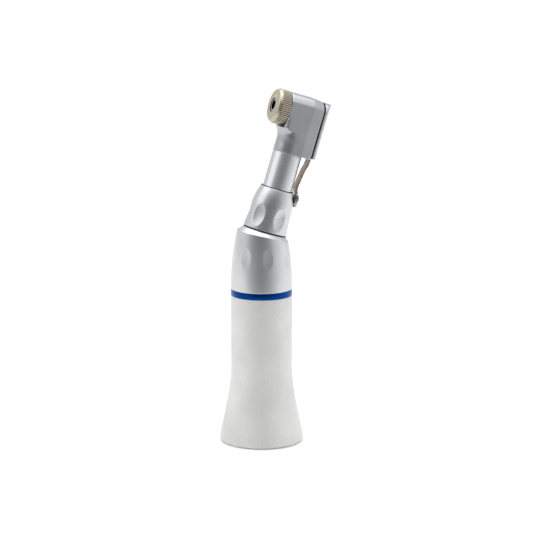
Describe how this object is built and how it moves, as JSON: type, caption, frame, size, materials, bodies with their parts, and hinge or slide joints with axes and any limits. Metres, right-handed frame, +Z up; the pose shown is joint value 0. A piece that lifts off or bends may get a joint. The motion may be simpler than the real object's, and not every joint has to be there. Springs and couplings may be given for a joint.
{
  "type": "contra angle handpiece",
  "caption": "Angled dental handpiece: a flared sheath over a motor socket, a bent neck, and a head with a latch-type bur chuck, knurled screw cap and swing latch lever.",
  "frame": {"origin": "centre of the rear rim's face, on the body axis", "axes": "+Z up the body axis from the rear rim, +X to the side the neck leans to (the latch side), the bur side faces -X"},
  "size_m": [0.0277, 0.0204, 0.0868],
  "materials": {
    "sheath": "fine bead-blasted, matt",
    "ring": "blue anodised, glossy",
    "sleeve": "satin chrome",
    "head": "fine satin chrome",
    "cap": "champagne nickel, satin",
    "spring_steel": "plain rolled spring steel",
    "pad": "polished stainless steel",
    "rubber": "matt",
    "frame": "turned",
    "steel": "ground",
    "gear": "hard-coated gear steel",
    "bearing": "ground and polished bearing steel",
    "cage": "fabric-filled phenolic"
  },
  "bodies": {
    "housing": {"rear_sheath": "sheath", "colour_ring": "ring", "middle_sleeve": "sleeve", "joint_gasket": "rubber", "upper_sleeve": "sleeve", "sleeve_seal": "rubber", "neck_tube": "sleeve", "neck_lock_ring": "steel", "head_housing": "head", "socket_tube": "frame", "retaining_ring": "spring_steel", "bearing_carrier": "frame", "carrier_seal": "rubber", "bearing_nut": "steel", "rear_outer_rings": "bearing", "rear_spacer": "steel", "neck_bearing_nut": "steel", "neck_outer_rings": "bearing", "neck_spacer": "steel", "chuck_outer_rings": "bearing", "latch_screw": "steel", "latch_washer": "spring_steel"},
    "rear_drive": {"rear_shaft": "steel", "rear_inner_rings": "bearing", "spring_seat": "steel", "drive_pin": "steel", "rear_gear": "gear"},
    "clutch": {"clutch_dog": "steel", "clutch_spring": "spring_steel"},
    "rear_cage_set": {"rear_balls": "bearing", "rear_cages": "cage"},
    "neck_drive": {"neck_shaft": "steel", "neck_inner_rings": "bearing", "neck_gear": "gear", "head_pinion": "gear"},
    "neck_cage_set": {"neck_balls": "bearing", "neck_cages": "cage"},
    "chuck": {"chuck_tube": "steel", "chuck_gear": "gear", "chuck_inner_rings": "bearing"},
    "chuck_cage_set": {"chuck_balls": "bearing", "chuck_cages": "cage"},
    "latch": {"latch_plate": "head", "lever_arm": "spring_steel", "arm_rivets": "steel", "thumb_pad": "pad", "pad_rivet": "pad"},
    "thrust_washer": {"cap_washer": "steel"},
    "cap": {"head_cap": "cap"}
  },
  "joints": [
    {"name": "rear_spin", "type": "hinge", "parent": "housing", "child": "rear_drive", "pos_m": [0, 0, 0.036], "axis": [0, 0, 1], "continuous": true},
    {"name": "clutch_slide", "type": "slide", "parent": "rear_drive", "child": "clutch", "axis": [0, 0, 1], "range_m": [0, 0.0015], "stiffness_N_per_m": 300, "springref_m": -0.001, "deforming": ["clutch_spring"]},
    {"name": "rear_cage_spin", "type": "hinge", "parent": "housing", "child": "rear_cage_set", "pos_m": [0, 0, 0.036], "axis": [0, 0, 1], "continuous": true},
    {"name": "neck_spin", "type": "hinge", "parent": "housing", "child": "neck_drive", "pos_m": [0.00292, 0, 0.05906], "axis": [0.2924, 0, 0.9563], "continuous": true},
    {"name": "neck_cage_spin", "type": "hinge", "parent": "housing", "child": "neck_cage_set", "pos_m": [0.00292, 0, 0.05906], "axis": [0.2924, 0, 0.9563], "continuous": true},
    {"name": "chuck_spin", "type": "hinge", "parent": "housing", "child": "chuck", "pos_m": [0.0096, 0, 0.08091], "axis": [0.9563, 0, -0.2924], "continuous": true},
    {"name": "chuck_cage_spin", "type": "hinge", "parent": "housing", "child": "chuck_cage_set", "pos_m": [0.0096, 0, 0.08091], "axis": [0.9563, 0, -0.2924], "continuous": true},
    {"name": "latch_swing", "type": "hinge", "parent": "housing", "child": "latch", "pos_m": [0.01256, 0, 0.07348], "axis": [0.9563, 0, -0.2924], "range_deg": [0, 32]},
    {"name": "cap_travel", "type": "slide", "parent": "housing", "child": "thrust_washer", "axis": [-0.9563, 0, 0.2924], "range_m": [0, 0.00201]},
    {"name": "cap_turn", "type": "hinge", "parent": "thrust_washer", "child": "cap", "pos_m": [0.00482, 0, 0.08238], "axis": [-0.9563, 0, 0.2924], "range_deg": [0, 1440]}
  ],
  "couplings": [
    {"joint": "rear_cage_spin", "follows": "rear_spin", "ratio": 0.39091},
    {"joint": "neck_spin", "follows": "rear_spin", "ratio": 1},
    {"joint": "neck_cage_spin", "follows": "rear_spin", "ratio": 0.39474},
    {"joint": "chuck_spin", "follows": "rear_spin", "ratio": 1},
    {"joint": "chuck_cage_spin", "follows": "rear_spin", "ratio": 0.42857},
    {"joint": "cap_travel", "follows": "cap_turn", "m_per_rad": 0.000079577}
  ]
}
